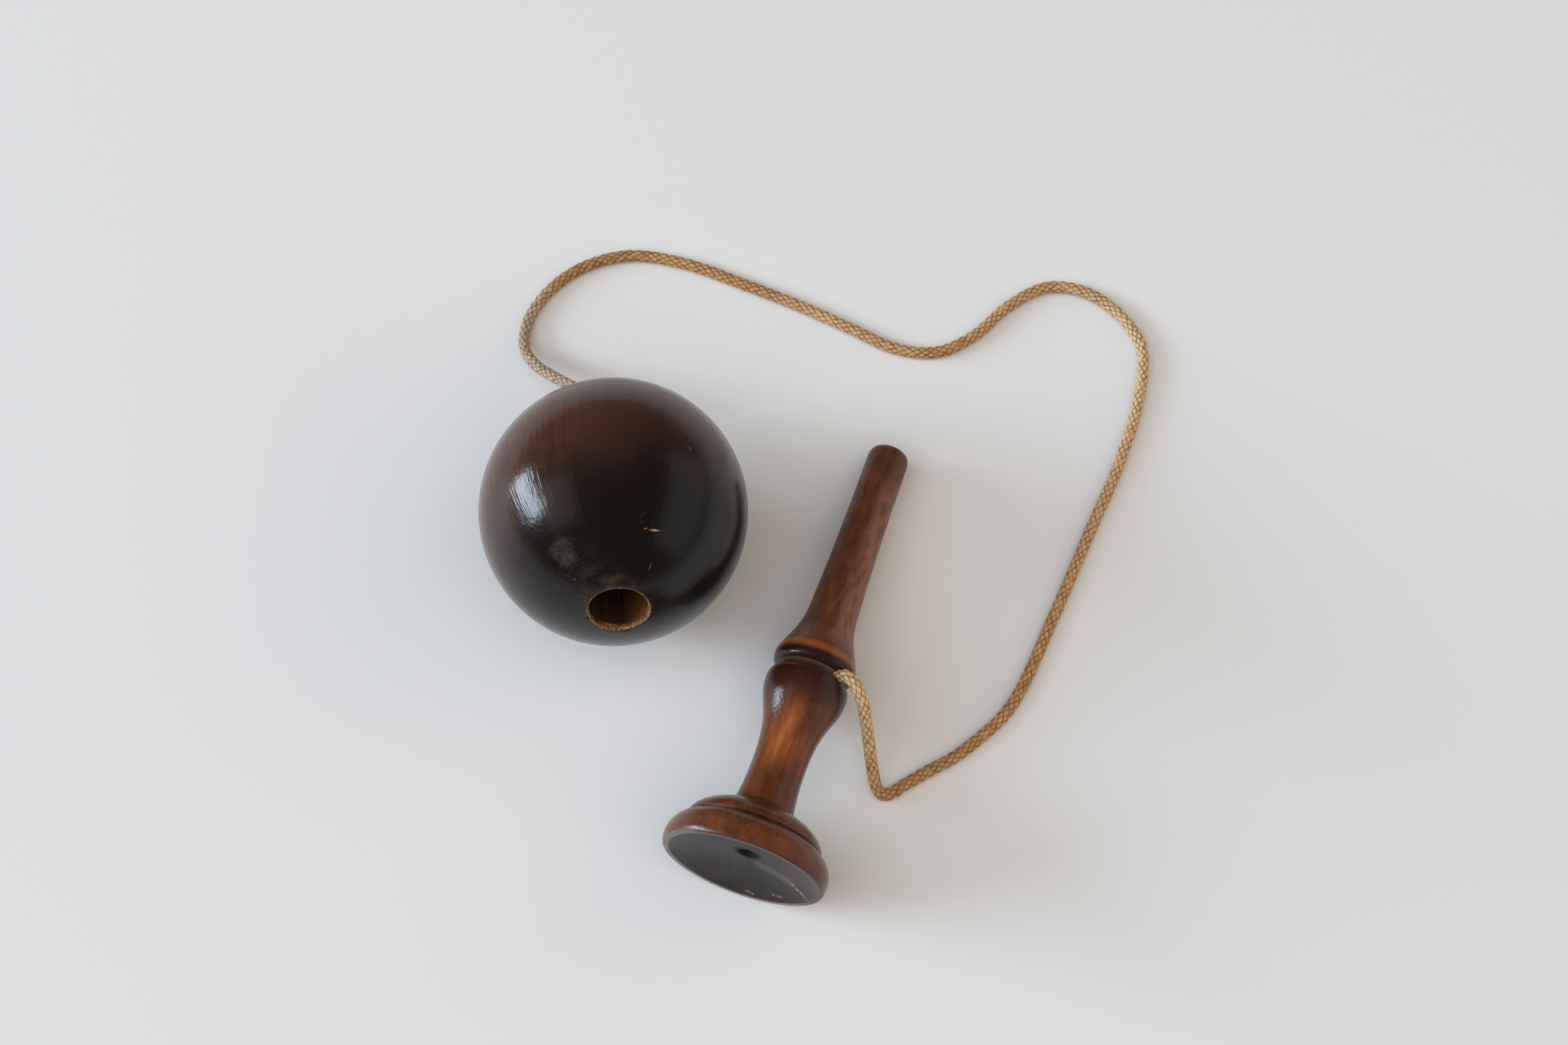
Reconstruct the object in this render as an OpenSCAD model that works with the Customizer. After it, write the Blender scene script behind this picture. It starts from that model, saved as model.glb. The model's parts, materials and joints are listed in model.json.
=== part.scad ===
// Cup and ball toy of turned and varnished wood: a spindle handle with a shallow cup at one
// end and a peg at the other, and a drilled ball that a braided cord ties to the handle.
// Millimetres. +Z is up and +Y runs along the handle from the cup to the peg. The toy lies
// on a table at z = 0, the handle on its rim and its peg's tip and the ball beside it. The
// origin is under the middle of the handle and the ball.

/* [Cup] */
// Diameter of the hollow at its edge
cup_d = 39.4; // [36:0.2:44]
// Depth of the hollow at its middle
cup_depth = 4.5; // [3:0.1:7]
// Width of the flat lip round the hollow
lip_w = 1.3; // [0.8:0.1:2.4]
// Diameter of the lathe centre's mark in the hollow
mark_d = 4.8; // [3:0.1:6]
// Depth of the lathe centre's mark
mark_depth = 2.5; // [1.5:0.1:4]

/* [Base] */
// How far the rim swells out past the lip
rim_swell = 0.8; // [0.3:0.1:1.4]
// Height of the rim's widest place above the lip
rim_h = 2.6; // [1.5:0.1:4]
// Height of the lower bead, from the lip to the step
base_h = 8.2; // [7:0.1:11]
// Diameter of the upper bead
bead_d = 36; // [32:0.2:38]
// Height of the upper bead
bead_h = 7.4; // [5:0.1:9]
// Width of the step between the beads
step_w = 0.4; // [0.2:0.1:1]
// Depth of the line turned in the step
step_depth = 0.4; // [0.2:0.1:1]

/* [Stem] */
// Diameter of the stem where it leaves the upper bead
stem_root_d = 17; // [15.2:0.1:19]
// Diameter of the stem at its waist
stem_d = 14.1; // [11:0.1:15]
// Height of the waist above the upper bead
waist_rise = 13.1; // [9:0.1:17]
// Height of the bulb's widest place above the waist
bulb_rise = 23; // [18:0.5:28]
// Diameter of the bulb
bulb_d = 22.3; // [20:0.1:25]

/* [Groove and collar] */
// Height of the groove above the bulb's widest place
groove_rise = 4.1; // [3:0.1:6]
// Diameter at the groove's floor
groove_d = 18.6; // [16:0.1:19.6]
// Width of the groove's floor
groove_w = 1.6; // [0.6:0.1:2.4]
// Height of the collar's widest place above the groove
collar_rise = 3.3; // [2.4:0.1:5]
// Diameter of the collar
collar_d = 22.3; // [20:0.1:25]

/* [Peg] */
// Height of the flare from the collar to the peg
flare_h = 18.6; // [14:0.2:24]
// Diameter at the peg's root
peg_root_d = 13.2; // [12:0.1:14]
// Diameter near the peg's tip
peg_tip_d = 11.4; // [9:0.1:12]
// Length of the peg, from its root to its end
peg_len = 50.3; // [42:0.1:60]
// Length of the rounded end
tip_h = 3.8; // [2.6:0.1:8]

/* [Ball] */
// Diameter of the ball
ball_d = 70; // [62:0.5:78]
// Diameter of the bore that takes the peg
bore_d = 15; // [13.6:0.1:18]
// Width of the worn edge of the bore's mouth
bore_wear = 0.6; // [0.3:0.1:1.2]
// Depth of the pocket for the knot, under the bore's floor
pocket_depth = 7; // [6:0.1:9]
// Thickness of the wood behind the pocket
back_wall = 6; // [4:0.1:9]

/* [Cord] */
// Diameter of the cord
cord_d = 3.2; // [2.4:0.1:3.8]
// Room round the cord in its holes
cord_room = 0.2; // [0.1:0.05:0.4]
// Length of the cord that is glued into the handle, below the groove's floor
cord_grip = 10; // [7:0.5:12]
// Gap between the wood and the cord's free stretch, at both of its ends
cord_gap = 0.4; // [0.2:0.05:1]
// Height of the cord's hole in the handle above level, in degrees
hole_rise = 40; // [20:1:60]
// Diameter of the knot
knot_d = 8.4; // [7.4:0.1:10]
// Height of the knot
knot_h = 5.4; // [4.6:0.1:5.8]
// Room round the knot in its pocket
knot_room = 0.5; // [0.3:0.1:0.8]
// Room under the knot, on which the ball turns
knot_seat = 0.3; // [0.2:0.05:0.5]

/* [Layout] */
// Distance from the handle's axis to the ball's middle, sideways
ball_aside = 61; // [58:0.5:80]
// Distance from the handle's lip to the ball's middle, along the handle
ball_along = 75.8; // [70:0.2:90]
// Turn of the bore's mouth from the cup's way toward the handle, in degrees
bore_turn = 24; // [0:1:60]
// Height of the bore's mouth above level, in degrees
bore_rise = 23; // [10:1:40]

/* [Hidden] */
$fn = 96;

cup_r = cup_d / 2;
lip_r = cup_r + lip_w;
base_r = lip_r + rim_swell;
bead_r = bead_d / 2;
stem_root_r = stem_root_d / 2;
stem_r = stem_d / 2;
bulb_r = bulb_d / 2;
groove_r = groove_d / 2;
collar_r = collar_d / 2;
peg_root_r = peg_root_d / 2;
peg_tip_r = peg_tip_d / 2;
ball_r = ball_d / 2;
cord_r = cord_d / 2;

// Places along the handle, from the lip
bead_top = base_h + bead_h;
waist_at = bead_top + waist_rise;
bulb_at = waist_at + bulb_rise;
groove_at = bulb_at + groove_rise;
collar_at = groove_at + collar_rise;
peg_root_at = collar_at + flare_h;
handle_len = peg_root_at + peg_len;
tip_at = handle_len - tip_h;

// Sphere that hollows the cup, from its edge and its depth
cup_sphere_r = (cup_r * cup_r + cup_depth * cup_depth) / (2 * cup_depth);

// A curve from a to b with handles p and q, without its first point
curve_steps = 9;
function curve(a, p, q, b) = [
    for (i = [1 : curve_steps])
        let (u = i / curve_steps, v = 1 - u)
            v * v * v * a + 3 * v * v * u * p + 3 * v * u * u * q + u * u * u * b
];
// Leaves a along the axis and meets b square to it
function round_over(a, b, from, to) =
    curve(a, [a.x, a.y + from * (b.y - a.y)], [b.x + to * (a.x - b.x), b.y], b);
// Leaves a square to the axis and meets b along it
function hollow(a, b, from, to) =
    curve(a, [a.x + from * (b.x - a.x), a.y], [b.x, b.y - to * (b.y - a.y)], b);
// Leaves a and meets b along the axis
function flow(a, b, from, to) =
    curve(a, [a.x, a.y + from * (b.y - a.y)], [b.x, b.y - to * (b.y - a.y)], b);
// Leaves a already narrowing and meets b along the axis
function taper(a, b, from, to) =
    curve(a, [a.x + 2 * from * (b.x - a.x), a.y + from * (b.y - a.y)],
          [b.x, b.y - to * (b.y - a.y)], b);

// Outline of the turned handle as [radius, height above the lip], from the lip to the tip
base_outline = concat(
    [[lip_r, 0]],
    hollow([lip_r, 0], [base_r, rim_h], 0.6, 0.5),
    round_over([base_r, rim_h], [bead_r + step_w, base_h], 0.56, 0.25),
    [[bead_r - step_depth, base_h + step_w]]
);
stem_outline = concat(
    [[bead_r, base_h + 2 * step_w]],
    round_over([bead_r, base_h + 2 * step_w], [stem_root_r, bead_top], 0.5, 0.3),
    hollow([stem_root_r, bead_top], [stem_r, waist_at], 0.4, 0.46),
    flow([stem_r, waist_at], [bulb_r, bulb_at], 0.68, 0.3),
    round_over([bulb_r, bulb_at], [groove_r, groove_at - groove_w / 2], 0.8, 0.3),
    [[groove_r, groove_at + groove_w / 2]],
    hollow([groove_r, groove_at + groove_w / 2], [collar_r, collar_at], 0.75, 0.5),
    flow([collar_r, collar_at], [peg_root_r, peg_root_at], 0.2, 0.6)
);
peg_outline = concat(
    taper([peg_root_r, peg_root_at], [peg_tip_r, tip_at], 0.18, 0.5),
    round_over([peg_tip_r, tip_at], [0, handle_len], 0.8, 0.75)
);
handle_outline = concat([[0, 0]], base_outline, stem_outline, peg_outline);

// The lean at which the rim and the peg's tip both touch the table
function reach(outline, lean) = max([for (p = outline) p.y * sin(lean) + p.x * cos(lean)]);
function settle(low, high, halvings) =
    let (mid = (low + high) / 2)
        halvings == 0 ? mid
        : reach(base_outline, mid) > reach(peg_outline, mid) ? settle(mid, high, halvings - 1)
        : settle(low, mid, halvings - 1);
steepest_lean = 30;
lean_halvings = 24;
lean = settle(0, steepest_lean, lean_halvings);
lip_z = reach(base_outline, lean);

// Handle and ball stand centred on the origin
along_low = min([for (p = handle_outline) p.y * cos(lean) - p.x * sin(lean)]);
along_high = max([for (p = handle_outline) p.y * cos(lean) + p.x * sin(lean)]);
handle_x = (ball_aside + ball_r - base_r) / 2;
handle_y = -(min(along_low, ball_along - ball_r) + max(along_high, ball_along + ball_r)) / 2;
ball_at = [handle_x - ball_aside, handle_y + ball_along, ball_r];

// A place on the upright handle, moved to where the handle lies
function on_handle(p) = [
    handle_x + p.x,
    handle_y - p.y * sin(lean) + p.z * cos(lean),
    lip_z - p.y * cos(lean) - p.z * sin(lean)
];

// Cord's hole in the handle: its way out, and where the cord comes free of the groove
cord_hole_d = cord_d + 2 * cord_room;
cord_free_r = max(bulb_r, collar_r) + cord_gap;
hole_way = [cos(hole_rise), -sin(hole_rise), 0];
cord_start = on_handle([0, 0, groove_at] + cord_free_r * hole_way);
cord_start_way = [hole_way.x, -hole_way.y * sin(lean), -hole_way.y * cos(lean)];

// Bore of the ball: its way out, its floor and where the cord comes out behind it
bore_way = [cos(bore_rise) * sin(bore_turn), -cos(bore_rise) * cos(bore_turn), sin(bore_rise)];
bore_r = bore_d / 2;
mouth_r = bore_r + bore_wear;
mouth_z = sqrt(ball_r * ball_r - mouth_r * mouth_r);
pocket_floor = back_wall - ball_r;
bore_floor = pocket_floor + pocket_depth;
cord_behind = ball_r + cord_gap;
cord_end = ball_at - cord_behind * bore_way;

// Route of the cord's free stretch, from the handle down to the table, round past the peg's
// tip and back of the ball, and up to the ball's cord hole
cord_points = [
    [49.2, -7.3, 22.4], [52.3, -10.3, 20], [54.5, -13.7, 16], [56.5, -17.2, 11.5],
    [58.5, -20.8, 7.2], [60.6, -24.6, 4], [62.3, -26.9, 2.3], [64.1, -27.9, 1.6], [66, -27, 1.6],
    [69, -23.4, 1.6], [73.5, -18.3, 1.6], [80.5, -10.5, 1.6], [89.5, 6, 1.6], [93.2, 32, 1.6],
    [96, 60, 1.6], [98.4, 84, 1.6], [98.3, 104, 1.6], [95, 119, 1.6], [86.5, 127, 1.6],
    [75, 131, 1.6], [64, 129, 1.6], [55.4, 120, 1.6], [48.4, 107.5, 1.6], [40, 99.4, 1.6],
    [28.5, 96.7, 1.6], [14.5, 98.6, 1.6], [-1, 100.7, 1.6], [-20, 102.3, 1.6], [-37, 103.1, 1.6],
    [-53, 100.6, 1.6], [-64.5, 93, 1.6], [-71.2, 83, 1.6], [-73.8, 72, 1.6], [-71.5, 63, 2.6],
    [-66, 58, 5.5], [-59, 54.5, 10], [-51, 51.5, 14.2], [-43.5, 49, 17.5], [-38.5, 45.8, 19.8]
];
route = concat([cord_start], cord_points, [cord_end]);
route_last = len(route) - 1;

// A smooth line through the route, held to the ways of the two holes and above the table
function route_way(i) =
    i == 0 ? cord_start_way
    : i == route_last ? bore_way
    : (route[i + 1] - route[i - 1]) / (norm(route[i + 1] - route[i]) + norm(route[i] - route[i - 1]));
function route_point(i, u) =
    let (a = route[i], b = route[i + 1], span = norm(b - a), v = 1 - u)
        v * v * (1 + 2 * u) * a + u * u * (3 - 2 * u) * b
        + span * u * v * (v * route_way(i) - u * route_way(i + 1));
function above_table(p) = [p.x, p.y, max(p.z, cord_r)];
route_steps = 2;
cord_line = concat(
    [for (i = [0 : route_last - 1]) for (k = [0 : route_steps - 1])
        above_table(route_point(i, k / route_steps))],
    [cord_end]
);
line_last = len(cord_line) - 1;

// A ring of the cord's surface, square to the line
cord_sides = 8;
function unit(v) = v / norm(v);
function line_way(i) =
    i == 0 ? cord_start_way
    : i == line_last ? bore_way
    : unit(cord_line[i + 1] - cord_line[i - 1]);
function cord_ring(i) =
    let (way = line_way(i), side = unit(cross(way, [0, 0, 1])), up = cross(side, way))
        [for (k = [0 : cord_sides - 1])
            let (turn = 360 * (k + 0.5) / cord_sides)
                cord_line[i] + cord_r * (cos(turn) * side + sin(turn) * up)];
cord_mesh_points = [for (i = [0 : line_last]) each cord_ring(i)];
cord_mesh_faces = concat(
    [[for (k = [0 : cord_sides - 1]) k]],
    [for (i = [0 : line_last - 1]) for (k = [0 : cord_sides - 1])
        let (a = i * cord_sides, next = (k + 1) % cord_sides)
            each [[a + k, a + cord_sides + k, a + cord_sides + next], [a + k, a + cord_sides + next, a + next]]],
    [[for (k = [cord_sides - 1 : -1 : 0]) line_last * cord_sides + k]]
);

module lay_handle() {
    translate([handle_x, handle_y, lip_z])
        rotate([-90 - lean, 0, 0])
            children();
}

module lay_ball() {
    translate(ball_at)
        rotate([90 - bore_rise, 0, bore_turn])
            children();
}

// Along the cord's hole in the handle, with z = 0 at the handle's axis
module along_cord_hole() {
    translate([0, 0, groove_at])
        rotate([0, 0, -hole_rise])
            rotate([0, 90, 0])
                children();
}

// One turning: peg, flare, collar, groove, bulb, stem, two beads and the cup
module handle() {
    color([0.36, 0.15, 0.07])
        lay_handle()
            difference() {
                rotate_extrude() polygon(handle_outline);
                translate([0, 0, cup_depth - cup_sphere_r]) sphere(cup_sphere_r, $fn = 192);
                translate([0, 0, cup_depth - mark_d])
                    cylinder(h = mark_depth + mark_d - mark_d / 2, d = mark_d);
                translate([0, 0, cup_depth + mark_depth - mark_d / 2])
                    cylinder(h = mark_d / 2, d1 = mark_d, d2 = 0);
                along_cord_hole()
                    translate([0, 0, groove_r - cord_grip])
                        cylinder(h = cord_grip + cord_free_r, d = cord_hole_d);
            }
}

// Turned ball with the peg's bore, its worn mouth, the knot's pocket and the cord's hole
module ball() {
    color([0.12, 0.07, 0.055])
        lay_ball()
            difference() {
                sphere(ball_r, $fn = 192);
                translate([0, 0, bore_floor]) cylinder(h = ball_d, d = bore_d);
                translate([0, 0, mouth_z - bore_wear])
                    cylinder(h = 2 * bore_wear, r1 = bore_r, r2 = mouth_r + bore_wear);
                translate([0, 0, pocket_floor]) cylinder(h = ball_d, d = knot_d + 2 * knot_room);
                translate([0, 0, -ball_d]) cylinder(h = ball_d, d = cord_hole_d);
            }
}

module cord() {
    color([0.68, 0.5, 0.28])
        polyhedron(cord_mesh_points, cord_mesh_faces);
}

// Cord's end, glued into the handle's blind hole
module cord_in_handle() {
    color([0.68, 0.5, 0.28])
        lay_handle()
            along_cord_hole()
                translate([0, 0, groove_r - cord_grip])
                    cylinder(h = cord_grip + cord_free_r - groove_r, d = cord_d);
}

// Cord's run through the ball's back, up to the knot
module cord_in_ball() {
    color([0.68, 0.5, 0.28])
        lay_ball()
            translate([0, 0, -cord_behind])
                cylinder(h = cord_behind + pocket_floor + knot_seat, d = cord_d);
}

// Stopper knot that holds the ball on the cord
module ball_knot() {
    color([0.68, 0.5, 0.28])
        lay_ball()
            translate([0, 0, pocket_floor + knot_seat])
                rotate_extrude() {
                    square([knot_d / 2 - knot_h / 2, knot_h]);
                    intersection() {
                        translate([knot_d / 2 - knot_h / 2, knot_h / 2]) circle(d = knot_h);
                        square([knot_d, knot_h]);
                    }
                }
}

handle();
ball();
cord();
cord_in_handle();
cord_in_ball();
ball_knot();
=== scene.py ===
import json
import math

import bmesh
import bpy
from mathutils import Matrix, Vector, noise


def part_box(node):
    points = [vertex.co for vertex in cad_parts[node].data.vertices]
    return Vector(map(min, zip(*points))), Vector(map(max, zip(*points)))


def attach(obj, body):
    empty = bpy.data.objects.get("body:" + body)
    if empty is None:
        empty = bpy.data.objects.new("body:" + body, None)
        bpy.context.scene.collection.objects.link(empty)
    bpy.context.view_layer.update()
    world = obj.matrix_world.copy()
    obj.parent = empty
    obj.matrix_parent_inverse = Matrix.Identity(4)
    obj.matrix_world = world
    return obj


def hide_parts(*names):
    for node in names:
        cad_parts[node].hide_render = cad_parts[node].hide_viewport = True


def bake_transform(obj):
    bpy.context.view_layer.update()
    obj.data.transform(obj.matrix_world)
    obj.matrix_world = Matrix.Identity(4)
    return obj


# Cup and ball toy of turned and varnished wood. Lengths are millimetres in each piece's own
# frame, and metres once the piece is laid in its place.
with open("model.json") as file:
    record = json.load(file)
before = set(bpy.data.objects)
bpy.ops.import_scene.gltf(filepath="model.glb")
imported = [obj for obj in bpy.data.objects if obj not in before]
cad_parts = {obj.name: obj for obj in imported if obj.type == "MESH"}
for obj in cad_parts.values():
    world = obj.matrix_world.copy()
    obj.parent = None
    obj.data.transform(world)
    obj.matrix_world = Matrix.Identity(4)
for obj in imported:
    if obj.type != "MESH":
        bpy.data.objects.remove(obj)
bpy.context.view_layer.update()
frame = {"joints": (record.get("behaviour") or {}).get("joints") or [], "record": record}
MM = 0.001

# Camera: it stands over the table, a little in front of the toy, and looks down on it.
eye = Vector((81.43, -161.31, 566.38)) * MM
looked_at = Vector((14.97, 37.14, 0)) * MM
camera = bpy.data.objects.new("camera", bpy.data.cameras.new("camera"))
camera.data.lens = 50
camera.data.sensor_width = 36
camera.location = eye
camera.rotation_euler = (looked_at - eye).to_track_quat("-Z", "Y").to_euler()
bpy.context.scene.collection.objects.link(camera)
bpy.context.scene.camera = camera

# Handle: one piece of close-grained wood, turned on a lathe from the cup's lip to the peg's
# tip, drilled in its groove for the cord, stained red-brown and varnished. The cup's hollow
# is darker, and long use has worn the stem and the edges to orange.
cup_r, cup_depth, lip_w = 19.7, 4.5, 1.3
mark_r, mark_depth = 2.4, 2.5
rim_swell, rim_h, base_h = 0.8, 2.6, 8.2
bead_r, bead_h, step_w, step_depth = 18, 7.4, 0.4, 0.4
stem_root_r, stem_r, waist_rise = 8.5, 7.05, 13.1
bulb_r, bulb_rise = 11.15, 23
groove_r, groove_rise, groove_w = 9.3, 4.1, 1.6
collar_r, collar_rise = 11.15, 3.3
peg_root_r, flare_h = 6.6, 18.6
peg_tip_r, peg_len, tip_h = 5.7, 50.3, 3.8
handle_sides = 160
sharp_turn, edge_wear = 25, 0.14
cord_hole_r, cord_hole_sides, cord_grip = 1.8, 48, 10
splinter_r, splinters = 0.13, ((0.3, 0.4, 0.9), (-1.9, 0.3, 0.5))

lip_r = cup_r + lip_w
base_r = lip_r + rim_swell
cup_floor = cup_depth + mark_depth
bead_top = base_h + bead_h
waist_at = bead_top + waist_rise
bulb_at = waist_at + bulb_rise
groove_at = bulb_at + groove_rise
collar_at = groove_at + collar_rise
peg_root_at = collar_at + flare_h
handle_len = peg_root_at + peg_len
tip_at = handle_len - tip_h


def curve(a, p, q, b, steps=16):
    """Points from a to b along a curve with handles p and q, without its first point."""
    points = []
    for i in range(1, steps + 1):
        u = i / steps
        v = 1 - u
        shares = (v * v * v, 3 * v * v * u, 3 * v * u * u, u * u * u)
        points.append(tuple(sum(s * c[k] for s, c in zip(shares, (a, p, q, b))) for k in (0, 1)))
    return points


def round_over(a, b, leave, meet):
    """A curve that leaves a along the axis and meets b square to it."""
    return curve(a, (a[0], a[1] + leave * (b[1] - a[1])), (b[0] + meet * (a[0] - b[0]), b[1]), b)


def hollow(a, b, leave, meet):
    """A curve that leaves a square to the axis and meets b along it."""
    return curve(a, (a[0] + leave * (b[0] - a[0]), a[1]), (b[0], b[1] - meet * (b[1] - a[1])), b)


def flow(a, b, leave, meet):
    """A curve that leaves a and meets b along the axis."""
    return curve(a, (a[0], a[1] + leave * (b[1] - a[1])), (b[0], b[1] - meet * (b[1] - a[1])), b)


def taper(a, b, leave, meet):
    """A curve that leaves a already narrowing and meets b along the axis."""
    start = (a[0] + 2 * leave * (b[0] - a[0]), a[1] + leave * (b[1] - a[1]))
    return curve(a, start, (b[0], b[1] - meet * (b[1] - a[1])), b)


def cup_outline(steps=24):
    """The hollow from the lathe mark's point out to the cup's edge."""
    sphere_r = (cup_r * cup_r + cup_depth * cup_depth) / (2 * cup_depth)
    points = [(0, cup_floor), (mark_r, cup_floor - mark_r)]
    for i in range(steps + 1):
        r = mark_r + (cup_r - mark_r) * i / steps
        points.append((r, cup_depth - sphere_r + math.sqrt(sphere_r * sphere_r - r * r)))
    return points


handle_outline = [
    *cup_outline(),
    (lip_r, 0),
    *hollow((lip_r, 0), (base_r, rim_h), 0.6, 0.5),
    *round_over((base_r, rim_h), (bead_r + step_w, base_h), 0.56, 0.25),
    (bead_r - step_depth, base_h + step_w),
    (bead_r, base_h + 2 * step_w),
    *round_over((bead_r, base_h + 2 * step_w), (stem_root_r, bead_top), 0.5, 0.3),
    *hollow((stem_root_r, bead_top), (stem_r, waist_at), 0.4, 0.46),
    *flow((stem_r, waist_at), (bulb_r, bulb_at), 0.68, 0.3),
    *round_over((bulb_r, bulb_at), (groove_r, groove_at - groove_w / 2), 0.8, 0.3),
    (groove_r, groove_at + groove_w / 2),
    *hollow((groove_r, groove_at + groove_w / 2), (collar_r, collar_at), 0.75, 0.5),
    *flow((collar_r, collar_at), (peg_root_r, peg_root_at), 0.2, 0.6),
    *taper((peg_root_r, peg_root_at), (peg_tip_r, tip_at), 0.18, 0.5),
    *round_over((peg_tip_r, tip_at), (0, handle_len), 0.8, 0.75),
]


def named(rows, name):
    """The mount or the joint of that name."""
    return next(row for row in rows if row["name"] == name)


def laid(foot, way):
    """The place of a piece whose own Z runs along way from foot, with its own Y uppermost."""
    side = Vector((0, 0, 1)).cross(way).normalized()
    place = Matrix((side, way.cross(side), way)).transposed().to_4x4()
    place.translation = foot
    return place


def turned(outline, sides):
    """A mesh turned about its own Z from an outline of (radius, height) points."""
    bm = bmesh.new()
    points = [bm.verts.new((r, 0, z)) for r, z in outline]
    edges = [bm.edges.new(pair) for pair in zip(points, points[1:])]
    bmesh.ops.spin(bm, geom=points + edges, cent=(0, 0, 0), axis=(0, 0, 1), dvec=(0, 0, 0),
                   angle=2 * math.pi, steps=sides, use_merge=True)
    bmesh.ops.remove_doubles(bm, verts=bm.verts, dist=0.001)
    bmesh.ops.recalc_face_normals(bm, faces=bm.faces)
    return bm


def soften(bm, least_turn, width):
    """Rounds every edge whose faces meet at more than least_turn degrees, as wear does."""
    least = math.radians(least_turn)
    sharp = [e for e in bm.edges if e.is_manifold and e.calc_face_angle() > least]
    bmesh.ops.bevel(bm, geom=sharp, offset=width, offset_type="OFFSET", segments=3, profile=0.5,
                    affect="EDGES", clamp_overlap=True, material=-1)
    bmesh.ops.remove_doubles(bm, verts=bm.verts, dist=0.01)
    bmesh.ops.recalc_face_normals(bm, faces=bm.faces)


def piece(name, bm, place):
    """The object of a finished mesh, with its place in the mesh and its faces smooth."""
    bm.transform(place @ Matrix.Scale(MM, 4))
    for face in bm.faces:
        face.smooth = True
    mesh = bpy.data.meshes.new(name)
    bm.to_mesh(mesh)
    bm.free()
    made = bpy.data.objects.new(name, mesh)
    bpy.context.scene.collection.objects.link(made)
    return made


def drill(wood, bit):
    """Takes the bit's shape out of the wood."""
    cut = wood.modifiers.new("cut", "BOOLEAN")
    cut.operation = "DIFFERENCE"
    cut.solver = "EXACT"
    cut.object = bit
    drilled = bpy.data.meshes.new_from_object(
        wood.evaluated_get(bpy.context.evaluated_depsgraph_get()))
    wood.modifiers.clear()
    wood.data = drilled
    bpy.data.objects.remove(bit)


class Tone:
    """A shader value. Arithmetic on tones adds Math nodes to their material."""

    def __init__(self, tree, socket=None):
        self.tree = tree
        self.socket = socket

    def node(self, kind, settings, inputs, output=0):
        """The output of a new node, with its settings and then its sockets set or linked."""
        made = self.tree.nodes.new("ShaderNode" + kind)
        for name, value in settings.items():
            setattr(made, name, value)
        for name, value in inputs.items():
            if isinstance(value, Tone):
                self.tree.links.new(value.socket, made.inputs[name])
            else:
                made.inputs[name].default_value = value
        return Tone(self.tree, made.outputs[output])

    def maths(self, operation, *values):
        return self.node("Math", {"operation": operation}, dict(enumerate(values)))

    def __add__(self, other):
        return self.maths("ADD", self, other)

    def __radd__(self, other):
        return self.maths("ADD", other, self)

    def __sub__(self, other):
        return self.maths("SUBTRACT", self, other)

    def __rsub__(self, other):
        return self.maths("SUBTRACT", other, self)

    def __mul__(self, other):
        return self.maths("MULTIPLY", self, other)

    def __rmul__(self, other):
        return self.maths("MULTIPLY", other, self)

    def __truediv__(self, other):
        return self.maths("DIVIDE", self, other)

    def __pow__(self, other):
        return self.maths("POWER", self, other)

    def __abs__(self):
        return self.maths("ABSOLUTE", self)

    def fract(self):
        return self.maths("FRACT", self)

    def most(self, other):
        return self.maths("MAXIMUM", self, other)

    def least(self, other):
        return self.maths("MINIMUM", self, other)

    def rise(self, low, high):
        """0 below low and 1 above high, with a smooth step between them."""
        return self.node("MapRange", {"interpolation_type": "SMOOTHSTEP"},
                         {"Value": self, "From Min": low, "From Max": high})

    def mix(self, under, over):
        """The colour under where this tone is 0, and over where it is 1."""
        return self.node("Mix", {"data_type": "RGBA"}, {0: self, 6: under, 7: over}, 2)


def stain(red, green, blue):
    """A colour written as a screen shows it, from 0 to 255, made linear for a shader."""
    return (*(((c / 255 + 0.055) / 1.055) ** 2.4 for c in (red, green, blue)), 1)


def new_finish(name):
    """A new material with a Principled shader."""
    material = bpy.data.materials.new(name)
    material.use_nodes = True
    return material


def own_place(material, place):
    """A piece's own millimetres, measured in the piece's place."""
    whole = Tone(material.node_tree).node("TexCoord", {}, {}, "Object")
    return whole.node("Mapping", {"vector_type": "TEXTURE"},
                      {"Vector": whole, "Location": place.translation,
                       "Rotation": place.to_euler(), "Scale": (MM, MM, MM)})


def coat(material, sockets):
    """Sets the Principled shader's sockets, each to a tone or to one value."""
    shader = material.node_tree.nodes["Principled BSDF"]
    for name, value in sockets.items():
        if isinstance(value, Tone):
            material.node_tree.links.new(value.socket, shader.inputs[name])
        else:
            shader.inputs[name].default_value = value


def part(spot, axis):
    """The X, Y or Z of a spot."""
    return spot.node("SeparateXYZ", {}, {"Vector": spot}, axis)


def spot_of(x, y, z=0):
    """A spot from its X, which is a tone, and its Y and Z."""
    return x.node("CombineXYZ", {}, {"X": x, "Y": y, "Z": z})


def from_axis(own):
    """A piece's distance from its Z axis."""
    x, y = part(own, "X"), part(own, "Y")
    return (x * x + y * y) ** 0.5


def along_way(own, way):
    """How far a piece's spots lie along a way, times the way's length."""
    return own.node("VectorMath", {"operation": "DOT_PRODUCT"}, {0: own, 1: way}, "Value")


def away_from(own, place):
    """How far a piece's spots lie from a place."""
    return own.node("VectorMath", {"operation": "DISTANCE"}, {0: own, 1: place}, "Value")


def clouds(spot, size, detail):
    """Noise with marks of the given size along X, Y and Z."""
    drawn = spot.node("VectorMath", {"operation": "DIVIDE"}, {0: spot, 1: size})
    return drawn.node("TexNoise", {}, {"Vector": drawn, "Scale": 1, "Detail": detail})


def grain(own, across, along, detail=3):
    """Noise drawn out along a piece's Z, with the size of its marks across and along the grain."""
    return clouds(own, (across, across, along), detail)


def band(height, middle, width, core=0):
    """1 within core of the middle height, falling to 0 at width to either side."""
    return 1 - abs(height - middle).rise(core, width)


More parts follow.
